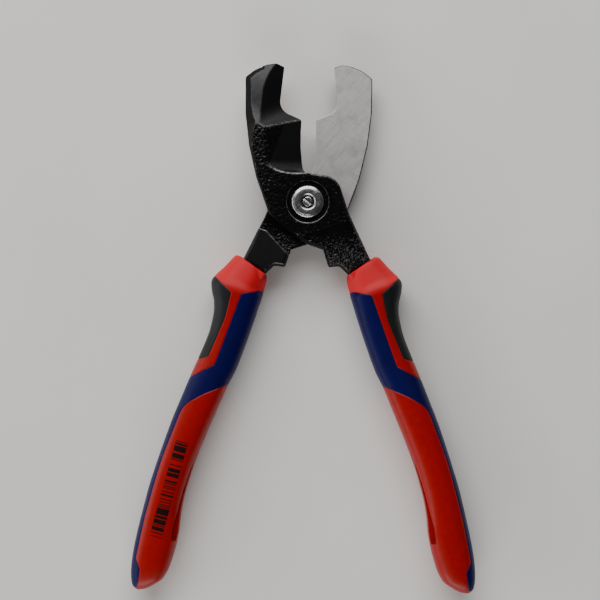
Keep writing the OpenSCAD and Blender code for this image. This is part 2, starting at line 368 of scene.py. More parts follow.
def outer_height(p, to_forged, seat):
    """Height of the lever's outer side, given each point's distance to the forged rim."""
    x, y = p.T
    face = plain_thickness(p)
    ground = smooth_min(lower_bevel(p), upper_bevel(p), 0.4)
    along = [-30, 0, 24, 33]
    foot = np.interp(y, along, [1.6, 4.9, 4.0, 1.4])
    foot = foot + 1.0 * smooth_step(0, 3, y) * (x > 0)
    rise = np.interp(y, along, [4.0, 4.0, 3.0, 1.5])
    z = smooth_min(smooth_min(face, ground, 0.45), foot + rise * to_forged, 0.3)
    waves = np.array([noise.fractal(Vector((a * 0.55, b * 0.55, 3.0)), 1.0, 2.0, 3) for a, b in p])
    z = z + 0.05 * waves * smooth_step(0.05, 0.3, np.abs(z - ground)) * smooth_step(0.6, 1.6, to_forged)
    to_ridge = hub_ridge(p, to_forged)
    z = np.where(to_ridge < 0.5, np.minimum(z, face - 0.3 + 0.6 * np.maximum(to_ridge, 0)), z)
    z = np.maximum(z, EDGE_T)
    radius = np.hypot(x, y)
    chamfer = face - 0.6 * np.clip(RECESS_R + 0.22 - radius, 0, 0.2)
    z = np.where(radius < RECESS_EDGE_R, chamfer, z)
    return np.where(radius < RECESS_R - 0.01, seat, z)


def wear_and_highlight_ridges(p, to_rim):
    """Where the black has worn thin and a painted highlight runs along the rounding: the shelf's ridge,
    the hub's top edge and the recess's edge.
    """
    x, y = p.T
    face, lower, upper = plain_thickness(p), lower_bevel(p), upper_bevel(p)
    top_edge = hub_ridge(p, to_rim) < 0.45
    shelf_ridge = (np.abs(lower - upper) < 0.19) & (y > 20)
    shelf_ridge &= smooth_min(lower, upper, 0.4) < face - 0.3
    radius = np.hypot(x, y)
    return top_edge | shelf_ridge | ((radius > RECESS_R) & (radius < RECESS_EDGE_R))


def inner_height(p, to_rim, to_forged, to_shoulder):
    """Height of the lever's inner side: ground flat over the lap, and thick beyond the shoulder."""
    corner = 0.2 * (1 - np.clip(to_forged / 0.3, 0, 1)) ** 2
    edge = 0.05 * (1 - np.clip(to_rim / 0.12, 0, 1))
    lap = LAP + np.maximum(corner, edge)
    thick = np.minimum(plain_thickness(p), TANG_HALF)
    wall = np.interp(p[:, 1], [-30, 0], [1.6, 2.6]) + 4.0 * to_forged
    rounding = 1 - np.clip(-to_shoulder / 0.5, 0, 1)
    tang = -smooth_min(thick, wall, 0.35) + 0.45 * (1 - np.sqrt(1 - rounding ** 2))
    return np.where(to_shoulder > -0.02, lap, tang)


def crossings(rim, line):
    """Where a line crosses a rim, as the rim's segment and the point."""
    found = []
    for i in range(len(rim)):
        a, b = rim[i], rim[(i + 1) % len(rim)]
        for c, d in zip(line, line[1:]):
            m = np.array([b - a, c - d]).T
            if abs(np.linalg.det(m)) > 1e-9:
                t, s = np.linalg.solve(m, c - a)
                if 0 <= t < 1 and 0 <= s < 1:
                    found.append((i, a + t * (b - a)))
    return found


def lever_rim():
    """The lever's sampled outline, with a point wherever the shoulder crosses it."""
    rim = resampled(rounded(LEVER_OUTLINE), lambda p: 0.45 if p[1] > GRIP_MOUTH_Y else 2.5)
    for drop in (0, SHOULDER_STEP):
        for i, point in reversed(crossings(rim, SHOULDER_LINE - [0, drop])):
            rim = np.insert(rim, i + 1, point, axis=0)
    return rim


def runs_of(points, kept, least=0.12):
    """The unbroken runs of kept points, as open chains."""
    chains, run = [], []
    for point, keep in zip(points, kept):
        if keep and (not run or np.linalg.norm(point - run[-1]) > least):
            run.append(point)
        elif not keep:
            chains.append(run)
            run = []
    chains.append(run)
    return [(np.array(c), False) for c in chains if len(c) > 1]


def inset_rows(rim, offsets):
    """Chains of points inside a rim at several distances from it, outside the grip."""
    ends = np.roll(rim, -1, axis=0)
    normal = left_of(ends - np.roll(rim, 1, axis=0))
    area = (rim[:, 0] * ends[:, 1] - ends[:, 0] * rim[:, 1]).sum()
    chains = []
    for offset in offsets:
        row = rim + normal * offset * np.sign(area)
        kept = well_inside(row, rim, 0.95 * offset) & (rim[:, 1] > GRIP_MOUTH_Y)
        chains += runs_of(row, kept)
    return chains


def line_rows(rim, rows, clearance):
    """Chains of points, cut back where they leave a rim."""
    chains = []
    for row in rows:
        chains += runs_of(row, well_inside(row, rim, clearance))
    return chains


def steep(points, tris):
    """Which triangles lean more than about 45 degrees from the flat."""
    a, b, c = (points[tris[:, k]] for k in range(3))
    normal = np.cross(b - a, c - a)
    return np.abs(normal[:, 2]) < 0.72 * np.linalg.norm(normal, axis=1)


def lever(name, body, node, seat, place, materials):
    """A forged lever, as one closed mesh of an outer side, an inner side and the walls between."""
    rim = lever_rim()
    starts, ends = sides(rim)
    middle = (starts + ends) / 2
    cut = (middle[:, 0] > -0.5) & (middle[:, 1] > EDGE_FROM_Y) & (middle[:, 1] < EDGE_TO_Y)
    rows = inset_rows(rim, (0.12, 0.32, 0.6, 1.0, 1.5))
    fine = hex_grid((-17, -31), (17, 51), 0.42)
    fine = fine[well_inside(fine, rim, 1.72)]
    coarse = hex_grid((5, -132), (18, GRIP_MOUTH_Y), 3.0)
    coarse = coarse[well_inside(coarse, rim, 1.0)]

    rings = np.array([BARREL_R, BARREL_R + 0.25, RECESS_R - 0.02, RECESS_R, RECESS_EDGE_R])
    radius = np.hypot(*fine.T)
    across, up = from_lower_foot(fine)
    near_scoop = (up > -0.6) & (up < 2.5) & (across > -2.2) & (across < 15)
    near_ring = np.abs(radius[:, None] - rings).min(1) < 0.22
    spots = fine[(radius > BARREL_R) & ~near_ring & ~near_scoop]
    scoop = [LOWER_FOOT + LOWER_UP * v + np.outer(np.arange(-2.0, 15.0, 0.4), LOWER_SIDE)
             for v in (-0.47, -0.3, -0.16, 0.0, 0.06, 0.2, 0.45, 0.8, 1.2, 1.7, 2.3)]
    chains = [(circle(r), True) for r in rings] + rows + line_rows(rim, scoop, 0.12)
    outer_xy, outer_tris, outer_ids = sheet(rim, chains, np.vstack([spots, coarse]))
    outer_tris = outer_tris[np.hypot(*outer_xy[outer_tris].mean(1).T) > BARREL_R]
    centre = outer_xy[outer_tris].mean(1)
    z = outer_height(outer_xy, distance(outer_xy, starts[~cut], ends[~cut]), seat)
    ground = np.minimum(lower_bevel(outer_xy), upper_bevel(outer_xy))
    on_bevel = (np.abs((z - ground)[outer_tris].mean(1)) < 0.25) & (centre[:, 1] > 8)
    across, up = from_lower_foot(centre)
    as_forged = (across > 13.5 - 0.43 * up) & (centre[:, 1] < 30)
    middle_z = z[outer_tris].mean(1)
    thinned = (centre[:, 1] > 33) & (climb(centre, *UPPER_BEVEL) > middle_z + 0.1)
    kinds = np.where(on_bevel & ~as_forged, BEVEL, CAST)
    kinds = np.where(on_bevel & thinned, SATIN, kinds)
    verts = np.column_stack([outer_xy, z])
    kinds = np.where(steep(verts, outer_tris) & (kinds == CAST), WALL, kinds)
    # edges painted pale: worn black and a painted highlight along their rounding
    kinds = list(np.where(wear_and_highlight_ridges(centre, distance(centre, starts, ends)), WEAR_AND_HIGHLIGHT, kinds))
    faces = [list(t) for t in outer_tris]

    to_shoulder = signed_to_shoulder(fine)
    spots = fine[(radius > BARREL_R + 0.4) & ((to_shoulder > 0.25) | (to_shoulder < -0.75))]
    row_at_shoulder = resampled(SHOULDER_LINE, 0.5, closed=False)
    shoulder = []
    for drop in (0, SHOULDER_STEP):
        row = row_at_shoulder - [0, drop]
        ends_on_rim = [point for _, point in crossings(rim, SHOULDER_LINE - [0, drop])]
        row = np.vstack([row[well_inside(row, rim, 0.05)], ends_on_rim])
        shoulder.append((row[np.argsort(-row[:, 0])], False))
    rounding = [row_at_shoulder - [0, drop] for drop in (0.12, 0.26, 0.42, 0.62)]
    chains = [(circle(BARREL_R), True)] + shoulder + line_rows(rim, rounding, 0.05) + rows
    inner_xy, inner_tris, inner_ids = sheet(rim, chains, np.vstack([spots, coarse]))
    inner_tris = inner_tris[np.hypot(*inner_xy[inner_tris].mean(1).T) > BARREL_R]
    to_forged = distance(inner_xy, starts[~cut], ends[~cut])
    z = inner_height(inner_xy, distance(inner_xy, starts, ends), to_forged, signed_to_shoulder(inner_xy))
    centre = inner_xy[inner_tris].mean(1)
    ground = (centre[:, 1] > 0) | (np.hypot(*centre.T) < GROUND_R)
    bare = ground & (to_forged[inner_tris].min(1) > 0.2) & (np.abs(z[inner_tris] - 0.1).max(1) < 0.1)
    # the shoulder's rounded top edge gets the pale edge look: worn black and a painted highlight of the
    # window
    worn = np.abs(signed_to_shoulder(centre) + 0.2) < 0.25
    raised = signed_to_shoulder(centre) < -0.3
    inner = np.column_stack([inner_xy, z])
    plain = np.where(steep(inner, inner_tris), WALL, np.where(raised, BEVEL, CAST))
    kinds += list(np.where(bare, BARE, np.where(worn, WEAR_AND_HIGHLIGHT, plain)))
    base = len(verts)
    verts = np.vstack([verts, inner])
    faces += [list(t[::-1] + base) for t in inner_tris]

    for loop in (0, 1):
        walls = band(outer_ids[loop], inner_ids[loop] + base)
        faces += walls
        kinds += [WALL] * len(walls)
    piece = make_piece(name, verts, faces, place, materials, kinds)
    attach(piece, body)
    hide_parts(node)


def signed_to_shoulder(p):
    """Distance to the shoulder's line: positive over the lap, and negative over the tang."""
    gap = distance(p, *segments([SHOULDER_LINE]))
    lap = np.vstack([SHOULDER_LINE, [[-40, 90], [40, 90]]])
    return np.where(inside(p, lap), gap, -gap)


# --- Pivot ---

HEAD_TOP = SHEAR_Z + FRONT_SEAT + 2.2
BORE_R = 2.02
SCREW_END_R = 1.72
THREAD_PITCH = 0.7


def turned(r, z, count):
    """A ring of points round the pivot's axis."""
    a = np.arange(count) * 2 * math.pi / count
    return [(r * math.cos(t), r * math.sin(t), z) for t in a]


def lathe(profile):
    """A closed solid of revolution from an (r, z) profile that runs from inside to outside and back."""
    verts = np.array([point for r, z in np.array(profile, float) for point in turned(r, z, ROUND)])
    rings = np.arange(len(verts)).reshape(-1, ROUND)
    faces = [face for k in range(len(rings)) for face in band(rings[k], rings[(k + 1) % len(rings)])]
    return verts, faces


def corner_arc(mid, radius, start, stop, steps=4):
    """Points of an arc in an (r, z) profile, between two angles in degrees."""
    angles = np.radians(np.linspace(start, stop, steps + 1))
    return [(mid[0] + radius * math.cos(t), mid[1] + radius * math.sin(t)) for t in angles]


def pivot_sleeve(materials):
    """The sleeve, whose round head has a broad chamfer outside and a narrow one at the bore."""
    seat, top = SHEAR_Z + FRONT_SEAT, HEAD_TOP
    low = SHEAR_Z - REAR_SEAT - 0.6
    barrel = BARREL_R - 0.02
    profile = [(BORE_R, low + 0.4), (2.3, low), (BARREL_R - 0.25, low), (barrel, low + 0.25)]
    profile += [(barrel, seat), (5.2, seat + 0.02)]
    profile += corner_arc((5.45, seat + 0.3), 0.25, -90, 0)
    profile += corner_arc((5.0, top - 0.98), 0.7, 0, 68, 8)
    profile += [(4.72, top - 0.13), (4.58, top - 0.02), (4.5, top), (3.06, top), (2.95, top - 0.02)]
    profile += [(2.44, top - 0.36), (2.34, top - 0.5), (2.15, top - 1.1)]
    for k in range(12):
        z = top - 1.3 - THREAD_PITCH * k
        profile += [(BORE_R, z), (2.2, z - 0.25), (2.2, z - 0.45)]
    verts, faces = lathe(profile)
    piece = make_piece("pivot_sleeve_turned", verts, faces, ON_AXIS, materials)
    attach(piece, "front_half")
    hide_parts("pivot_sleeve")


def pivot_screw(materials):
    """The screw's slotted end, its thread, and the low turned head that the tool lies on."""
    end = HEAD_TOP - 0.4
    turn = math.radians(-40)
    along = np.array([math.cos(turn), math.sin(turn)])
    across = np.array([-math.sin(turn), math.cos(turn)])
    count = 96
    rim = circle(SCREW_END_R, count)
    cuts = []
    groove_at, groove_z = [-0.62, -0.6, -0.02, 0.06, 0.4, 0.46], [0, -0.02, -0.3, -0.75, -0.75, 0]
    for offset in groove_at:
        half = math.sqrt(SCREW_END_R ** 2 - offset ** 2) - 0.03
        cut = [along * t + across * offset for t in np.linspace(-half, half, 14)]
        cuts.append((np.array(cut), False))
    inner = [(circle(r, 72), True) for r in (1.66, 1.55)]
    spots = hex_grid((-1.4, -1.4), (1.4, 1.4), 0.25)
    to_cuts = np.abs((spots @ across)[:, None] - groove_at).min(1)
    spots = spots[(np.hypot(*spots.T) < 1.4) & (to_cuts > 0.1)]
    xy, tris, ids = sheet(rim, cuts + inner, spots)
    fall = np.clip((np.hypot(*xy.T) - 1.5) / 0.22, 0, 1) ** 2 * 0.16
    groove = np.interp(xy @ across, groove_at, groove_z)
    face = np.column_stack([xy, end + np.minimum(groove, -fall)])
    low = [(SCREW_END_R, end - 0.9), (1.95, end - 1.2)]
    for k in range(13):
        z = end - 1.3 - THREAD_PITCH * k
        low += [(1.98, z), (1.8, z - 0.25), (1.8, z - 0.45)]
    low += [(1.98, 2.0), (5.9, 2.0)]
    low += corner_arc((5.95, 1.75), 0.25, 90, 0) + corner_arc((5.75, 0.45), 0.45, 0, -90, 5)
    low += [(4.1, 0.0), (4.0, 0.12), (3.7, 0.12), (3.6, 0.0), (1.2, 0.0), (1.0, 0.5), (0.25, 0.6)]
    verts = list(face)
    faces = [list(t) for t in tris]
    previous = ids[0]
    for r, z in low:
        ring = np.arange(len(verts), len(verts) + count)
        verts += turned(r, z, count)
        faces += band(previous, ring)
        previous = ring
    faces.append(list(previous))
    piece = make_piece("pivot_screw_turned", np.array(verts), faces, ON_AXIS, materials)
    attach(piece, "front_half")
    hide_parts("pivot_screw")


# --- Grips ---

TABLE = np.array(STATIONS)
MIDS = (TABLE[:, 0:2] + TABLE[:, 2:4]) / 2
STATION_S = np.concatenate([[0], np.cumsum(np.linalg.norm(np.diff(MIDS, axis=0), axis=1))])
TAIL_S = STATION_S[-1] + 0.35
GIRTH = 22.0            # half the way round a section, about
PAD, SOFT, CORE = 0, 1, 2


def smooth_track(s, column):
    """A station column as a smooth function of the way along the grip, with no overshoot."""
    ys = TABLE[:, column]
    slope = np.diff(ys) / np.diff(STATION_S)
    turn = np.zeros(len(ys))
    same = slope[:-1] * slope[1:] > 0
    turn[1:-1][same] = 2 * slope[:-1][same] * slope[1:][same] / (slope[:-1] + slope[1:])[same]
    turn[0], turn[-1] = slope[0], slope[-1]
    s = np.clip(s, 0, STATION_S[-1])
    k = np.clip(np.searchsorted(STATION_S, s, side="right") - 1, 0, len(slope) - 1)
    step = np.diff(STATION_S)[k]
    t = (s - STATION_S[k]) / step
    return ((2 * t ** 3 - 3 * t ** 2 + 1) * ys[k] + (t ** 3 - 2 * t ** 2 + t) * step * turn[k]
            + (3 * t ** 2 - 2 * t ** 3) * ys[k + 1] + (t ** 3 - t ** 2) * step * turn[k + 1])


def cross_line(s):
    """The section's inner and outer ends, in plan."""
    inner = np.stack([smooth_track(s, 0), smooth_track(s, 1)], 1)
    outer = np.stack([smooth_track(s, 2), smooth_track(s, 3)], 1)
    return inner, outer


def half_section(phi, power=2 / SECTION_POWER):
    """The upper half of a unit superellipse, at angles from 0 to pi."""
    c = np.cos(phi)
    return np.sign(c) * np.abs(c) ** power, np.abs(np.sin(phi)) ** power


ARC_PHI = np.linspace(0, math.pi, 721)
ARC_Q = np.concatenate([[0], np.cumsum(np.hypot(*(np.diff(v) for v in half_section(ARC_PHI))))])
ARC_Q /= ARC_Q[-1]


def section(q):
    """A unit section's point, q of the way round from the palm side to the finger side."""
    return half_section(np.interp(q, ARC_Q, ARC_PHI))


def q_of(across):
    """The inverse: how far round a section a place across it lies."""
    across = np.clip(across, -1, 1)
    phi = np.arccos(np.sign(across) * np.abs(across) ** (SECTION_POWER / 2))
    return np.interp(phi, ARC_PHI, ARC_Q)


def plan(s, q):
    """The place in plan of a point on the grip's front."""
    inner, outer = cross_line(s)
    across = section(q)[0]
    return (inner + outer) / 2 + (outer - inner) / 2 * across[:, None]


def skin(s, q, depth=0.0):
    """A point on the grip's front, or at a depth under it."""
    inner, outer = cross_line(s)
    centre, half_line = (inner + outer) / 2, (outer - inner) / 2
    a = np.linalg.norm(half_line, axis=1)
    direction = half_line / a[:, None]
    b = smooth_track(s, 4)
    across, up = section(q)

    # The guard's flats: a broad front face, and a narrower one on the finger side
    on_guard = 1 - smooth_step(7, 14, s)
    clip = np.ones(len(s))
    for nx, nz, reach in ((0.1, 0.995, 0.93), (-0.74, 0.67, 0.9), (0.8, 0.6, 1.0)):
        clip += (np.maximum(across * nx + up * nz, 0) * on_guard / reach) ** 8
    clip = clip ** (-1 / 8)
    across, up = across * clip, up * clip

    # The tail's end rounds to a point, and the mouth's lip turns in
    tail = np.clip((s - STATION_S[-1]) / (TAIL_S - STATION_S[-1]), 0, 1)
    shrink = np.sqrt(1 - tail ** 2) * 0.97 + 0.03
    lip = 0.5 * (1 - np.sqrt(1 - (1 - np.clip(s / 0.6, 0, 1)) ** 2))
    fade = np.clip((TAIL_S - s) / 3.0, 0, 1)
    under = lip + depth * fade
    nx = np.sign(across) * np.abs(across) ** (SECTION_POWER - 1) / a
    nz = up ** (SECTION_POWER - 1) / b
    size = np.maximum(np.hypot(nx, nz), 1e-9)
    w = a * across * shrink - under * nx / size
    z = b * up * shrink - under * nz / size
    axis = np.stack([direction[:, 1], -direction[:, 0]], 1)
    xy = centre + direction * w[:, None] + axis * np.maximum(s - STATION_S[-1], 0)[:, None]
    return np.column_stack([xy, np.maximum(z, 0)])


def borders(outline):
    """Where a zone's outline crosses the grip's front, as chains of (s, way round in mm)."""
    points = resampled(rounded(outline), 0.3)
    s = np.arange(0, TAIL_S, 0.02)
    inner, outer = cross_line(s)
    line = outer - inner
    chains, run, last = [], [], None
    for p in np.vstack([points, points[:1]]):
        side = line[:, 0] * (p[1] - inner[:, 1]) - line[:, 1] * (p[0] - inner[:, 0])
        flips = np.nonzero(side[:-1] * side[1:] < 0)[0]
        here = None
        if len(flips):
            across = ((p - (inner + outer)[flips] / 2) * line[flips]).sum(1)
            across = across / (line[flips] ** 2).sum(1) * 2
            k = np.argmin(np.abs(across))
            here = (s[flips[k]], across[k])
        if here is not None and last is not None and (abs(here[1]) < 1) != (abs(last[1]) < 1):
            edge = math.copysign(1, here[1])
            t = (edge - last[1]) / (here[1] - last[1])
            run.append((last[0] + t * (here[0] - last[0]), edge))
        if here is not None and abs(here[1]) < 1:
            run.append(here)
        elif run:
            chains.append(run)
            run = []
        last = here
    if run:
        chains.append(run)
    out = []
    for chain in chains:
        chain = np.array(chain)
        out.append(np.column_stack([chain[:, 0], q_of(chain[:, 1]) * GIRTH]))
    return [c for c in out if len(c) > 3]


def offset_rows(lines, offsets, low, high):
    """Chains beside each line, kept where they stay clear of every line and of the domain's edges."""
    starts, ends = segments(lines)
    chains = []
    for line in lines:
        normal = left_of(np.gradient(line, axis=0))
        for offset in offsets:
            row = line + normal * offset
            kept = distance(row, starts, ends) > 0.93 * abs(offset)
            kept &= (row > low + 0.02).all(1) & (row < high - 0.02).all(1)
            chains += runs_of(row, kept, 0.08)
    return chains


def tang_ring(s, q, back):
    """The tunnel round the tang: a rounded slot in the section at s."""
    inner, outer = cross_line(np.full(2, s))
    inner, outer = inner[0], outer[0]
    t = np.linspace(0, 1, 600)[:, None]
    hits = t[inside(inner + (outer - inner) * t, TANG_RIM)[:, None]]
    play = 0.012
    low = inner + (outer - inner) * (hits.min() - play)
    high = inner + (outer - inner) * (hits.max() + play)
    depths = [TANG_HALF + 0.35, TANG_HALF + 0.2, CORE_HALF + 0.12]
    depth = float(np.interp(s, [0, 1.5, 4.0], depths))
    across, up = half_section(np.interp(q, ARC_Q, ARC_PHI), 0.2)
    xy = (low + high) / 2 + (high - low) / 2 * across[:, None]
    return np.column_stack([xy, up * depth * np.where(back, -1, 1)])


TANG_RIM = rounded(LEVER_OUTLINE)


class GripShape:
    """The grip's skin, cut into zones: triangles in (way along, way round), front and back."""

    def __init__(self):
        low, high = np.array([0.0, 0.0]), np.array([TAIL_S, GIRTH])
        corners = np.array([[0, 0], [TAIL_S, 0], [TAIL_S, GIRTH], [0, GIRTH]])
        rim = resampled(corners, 0.6)
        self.lines = borders(SOFT_OUTLINE) + borders(PAD_OUTLINE)
        relief = borders(RELIEF_OUTLINE)
        chains = [(c, False) for c in self.lines + relief]
        chains += offset_rows(self.lines, (-0.45, -0.28, -0.12, 0.12, 0.28, 0.45), low, high)
        chains += offset_rows(relief, (-0.3, -0.12, 0.12, 0.3), low, high)
        rows = [(s, 41) for s in (0.08, 0.22, 0.4, 0.62, STATION_S[-1])]
        for s, count in rows + [(TAIL_S - 0.05, 31), (TAIL_S - 0.15, 31)]:
            row = np.column_stack([np.full(count, s), np.linspace(0, GIRTH, count)])
            chains.append((row, False))
        grid = np.vstack([hex_grid((0.9, 0.4), (20, GIRTH - 0.3), 0.6),
                          hex_grid((20.2, 0.5), (TAIL_S - 0.6, GIRTH - 0.4), 0.95)])
        grid = grid[distance(grid, *segments(self.lines + relief)) > 0.6]
        self.uv, self.tris, _ = sheet(rim, chains, grid)
        self.s, self.q = self.uv[:, 0], np.clip(self.uv[:, 1] / GIRTH, 0, 1)
        middle = self.uv[self.tris].mean(1)
        where = plan(middle[:, 0], middle[:, 1] / GIRTH)
        self.zone = np.full(len(self.tris), CORE)
        self.zone[inside(where, rounded(SOFT_OUTLINE))] = SOFT
        self.zone[inside(where, rounded(PAD_OUTLINE))] = PAD
        self.relieved = inside(plan(self.s, self.q), rounded(RELIEF_OUTLINE))
        self.relieved |= distance(self.uv, *segments(relief)) < 0.02
        self.layers()

    def layers(self):
        """The skin's points, and those at the soft zones' depth: the front, then the back."""
        starts, ends = (skin(c[:, 0], c[:, 1] / GIRTH) for c in segments(self.lines))
        gap = distance(skin(self.s, self.q), starts, ends)
        groove = 0.16 * (1 - np.clip(gap / 0.3, 0, 1)) ** 2
        top = skin(self.s, self.q, groove)
        top[:, 2] = np.where(self.relieved, np.minimum(top[:, 2], WEB_HALF), top[:, 2])
        deep = skin(self.s, self.q, np.full(len(self.s), SOFT_DEPTH))
        edge = (self.uv[:, 1] < 1e-4) | (self.uv[:, 1] > GIRTH - 1e-4)
        top[edge, 2] = 0
        deep[edge, 2] = 0
        count = len(top)
        self.back_id = np.arange(count)
        self.back_id[~edge] = count + np.arange((~edge).sum())
        flip = np.array([1, 1, -1])
        self.top = np.vstack([top, top[~edge] * flip])
        self.deep = np.vstack([deep, deep[~edge] * flip])
        self.both = np.vstack([self.tris, self.back_id[self.tris][:, ::-1]])
        self.zones = np.concatenate([self.zone, self.zone])

    def borders_of(self, chosen):
        """The edges of a set of faces, in order of travel, that only one of them has."""
        edges = {}
        for a, b, c in chosen:
            for pair in ((a, b), (b, c), (c, a)):
                edges[pair] = True
        return [pair for pair in edges if pair[::-1] not in edges]

    def patch(self, zone):
        """A soft zone as a closed piece: its skin, its floor and the walls between."""
        chosen = self.both[self.zones == zone]
        count = len(self.top)
        faces = [list(t) for t in chosen] + [list(t[::-1] + count) for t in chosen]
        faces += [[b, a, a + count, b + count] for a, b in self.borders_of(chosen)]
        return self.used(np.vstack([self.top, self.deep]), faces)

    def core(self):
        """The hard core: its own skin, the floors under the soft zones, and a tunnel for the tang."""
        count = len(self.top)
        own = self.both[self.zones == CORE]
        other = self.both[self.zones != CORE]
        faces = [list(t) for t in own] + [list(t + count) for t in other]
        mouth = np.nonzero(self.s < HAIR)[0]
        at_mouth = set(mouth) | set(self.back_id[mouth])
        for a, b in self.borders_of(own):
            if not (a in at_mouth and b in at_mouth):
                faces.append([b, a, a + count, b + count])
        verts = list(np.vstack([self.top, self.deep]))
        mouth = mouth[np.argsort(self.q[mouth])]
        ring = list(mouth) + list(self.back_id[mouth[1:-1]][::-1])
        q = np.concatenate([self.q[mouth], self.q[mouth[1:-1]][::-1]])
        back = np.arange(len(q)) >= len(mouth)
        previous = ring
        for s in [0.02, 0.6, 1.5, 3.0, 5.0] + list(np.arange(10, 102, 6.0)):
            new = np.arange(len(verts), len(verts) + len(q))
            verts += list(tang_ring(s, q, back))
            faces += band(previous, new)
            previous = new
        verts.append(np.mean([verts[i] for i in previous], axis=0))
        faces += [[a, b, len(verts) - 1] for a, b in zip(previous, np.roll(previous, -1))]
        return self.used(np.array(verts), faces)

    @staticmethod
    def used(verts, faces):
        """Only the points that the faces use, and each of them once in a face."""
        ids = sorted({i for f in faces for i in f})
        new_id = {old: new for new, old in enumerate(ids)}
        return verts[ids], [[new_id[i] for i in dict.fromkeys(f)] for f in faces]


def grip(side, body, place, shape, looks):
    """The three plastics of one grip."""
    parts = (("core", "grip_core", shape.core(), "hard_plastic"),
             ("soft_zone", "grip_soft", shape.patch(SOFT), "soft_plastic"),
             ("thumb_pad_skin", "thumb_pad", shape.patch(PAD), "pad_plastic"))
    for label, node, (verts, faces), slot in parts:
        piece = make_piece(f"{side}_{label}", verts, faces, place, [looks[slot]], sharp=40)
        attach(piece, body)
        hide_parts(f"{side}_{node}")


# --- Materials ---

def srgb(red, green, blue):
    """A colour given as 0-255 screen values, as linear light."""
    out = []
    for value in (red, green, blue):
        c = value / 255
        out.append(c / 12.92 if c <= 0.04045 else ((c + 0.055) / 1.055) ** 2.4)
    return (*out, 1.0)


class Look:
    """A material under construction: a Principled shader and the nodes that feed it."""

    def __init__(self, name, **values):
        self.material = bpy.data.materials.new(name)
        self.material.use_nodes = True
        self.tree = self.material.node_tree
        self.shader = self.tree.nodes["Principled BSDF"]
        for key, value in values.items():
            self.shader.inputs[key.replace("_", " ")].default_value = value
        self.coords = self.tree.nodes.new("ShaderNodeTexCoord").outputs["Object"]

    def node(self, kind, links=(), **values):
        made = self.tree.nodes.new(kind)
        for key, value in values.items():
            if hasattr(made, key):
                setattr(made, key, value)
            else:
                made.inputs[key.replace("_", " ")].default_value = value
        for key, source in dict(links).items():
            self.tree.links.new(source, made.inputs[key])
        return made

    def noise(self, scale_mm, detail=3.0, roughness=0.55, vector=None):
        """Noise whose blobs are about scale_mm across."""
        made = self.node("ShaderNodeTexNoise", {"Vector": vector or self.coords})
        made.inputs["Scale"].default_value = 1 / (scale_mm * MM)
        made.inputs["Detail"].default_value = detail
        made.inputs["Roughness"].default_value = roughness
        return made.outputs["Fac"]

    def ramp(self, source, stops):
        made = self.node("ShaderNodeValToRGB", {"Fac": source})
        elements = made.color_ramp.elements
        while len(elements) < len(stops):
            elements.new(0.5)
        for element, (at, colour) in zip(elements, stops):
            element.position = at
            element.color = colour if isinstance(colour, tuple) else (colour, colour, colour, 1)
        return made.outputs["Color"]

    def maths(self, operation, a, b=None):
        made = self.tree.nodes.new("ShaderNodeMath")
        made.operation = operation
        for socket, value in zip(made.inputs, (a, b)):
            if isinstance(value, (int, float)):
                socket.default_value = value
            elif value is not None:
                self.tree.links.new(value, socket)
        return made.outputs[0]

    def mix(self, factor, a, b):
        made = self.tree.nodes.new("ShaderNodeMix")
        made.data_type = "RGBA"
        self.tree.links.new(factor, made.inputs["Factor"])
        for socket, value in ((made.inputs[6], a), (made.inputs[7], b)):
            if isinstance(value, tuple):
                socket.default_value = value
            else:
                self.tree.links.new(value, socket)
        return made.outputs[2]

    def feed(self, socket, source):
        self.tree.links.new(source, self.shader.inputs[socket])

    def bump(self, height, depth_mm, strength=1.0):
        """A bump whose height, from 0 to 1, stands for depth_mm."""
        made = self.node("ShaderNodeBump", {"Height": height}, Distance=depth_mm * MM, Strength=strength)
        self.feed("Normal", made.outputs["Normal"])

    def times(self, a, b):
        return self.maths("MULTIPLY", a, b)

    def total(self, *parts):
        """The sum of several sources, each times its factor."""
        total, *others = [self.times(a, b) for a, b in parts]
        for other in others:
            total = self.maths("ADD", total, other)
        return total

    def xyz(self, vector=None):
        split = self.node("ShaderNodeSeparateXYZ", {"Vector": vector or self.coords})
        return (split.outputs[axis] for axis in "XYZ")

    def radius(self):
        """Distance from the pivot's axis."""
        x, y, _ = self.xyz()
        return self.maths("SQRT", self.total((x, x), (y, y)))

    def gloss(self, source, stops):
        self.feed("Roughness", self.ramp(source, stops))

    def mottle(self, size_mm, dark, light):
        """A base colour that drifts between two."""
        self.feed("Base Color", self.ramp(self.noise(size_mm), [(0.3, dark), (0.7, light)]))

    def stretched(self, across_mm, along_mm, turn):
        """Coordinates for streaks that run along a direction, in degrees from +X."""
        turned = self.node("ShaderNodeMapping", {"Vector": self.coords}, vector_type="TEXTURE")
        turned.inputs["Rotation"].default_value = (0, 0, math.radians(turn))
        turned.inputs["Scale"].default_value = (along_mm / across_mm, 1, 1)
        return turned.outputs["Vector"]


def forged_black():
    """Glossy black over a forged and shot-blasted surface, like coarse orange peel."""
    look = Look("forged_black", Specular_IOR_Level=0.45)
    pits = look.noise(0.95, 2.0, 0.5)
    fine = look.noise(0.25, 2.0, 0.5)
    look.mottle(6.0, srgb(2, 2, 3), srgb(5, 5, 6))
    look.gloss(pits, [(0.3, 0.16), (0.75, 0.26)])
    height = look.total((pits, 0.88), (fine, 0.12))
    rough = look.ramp(look.times(look.radius(), 0.04 / MM), [(0.35, 0.25), (0.85, 0.42)])
    _, y, _ = look.xyz()
    on_tang = look.ramp(look.times(y, -0.03 / MM), [(0.3, 0.0), (0.55, 0.5)])
    look.bump(look.times(height, look.maths("ADD", rough, on_tang)), 0.8)
    return look.material


